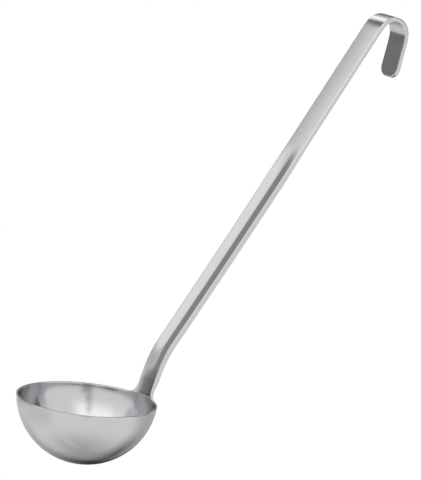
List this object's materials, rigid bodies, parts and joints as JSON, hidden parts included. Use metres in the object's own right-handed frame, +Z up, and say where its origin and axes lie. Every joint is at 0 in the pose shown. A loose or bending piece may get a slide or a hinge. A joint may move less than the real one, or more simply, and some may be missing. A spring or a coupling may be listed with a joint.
{
  "type": "soup ladle",
  "caption": "Soup ladle: a round drawn bowl whose neck is butt-welded to a leaning strip handle, channelled below and flat above, ending in an open hook for a rail.",
  "frame": {"origin": "centre of the rail that the hook hangs on, in the ladle's plane of symmetry", "axes": "+Z up along the bowl's axis, square to its rim; the handle leans towards +X in the plane Y = 0; +Y along the rail, across the handle's width"},
  "size_m": [0.2635, 0.0898, 0.2912],
  "materials": {
    "bowl": "satin",
    "weld_seam": "satin, ground flush",
    "handle": "satin"
  },
  "bodies": {
    "root": {"bowl": "bowl", "weld_seam": "weld_seam", "handle": "handle"}
  },
  "joints": []
}
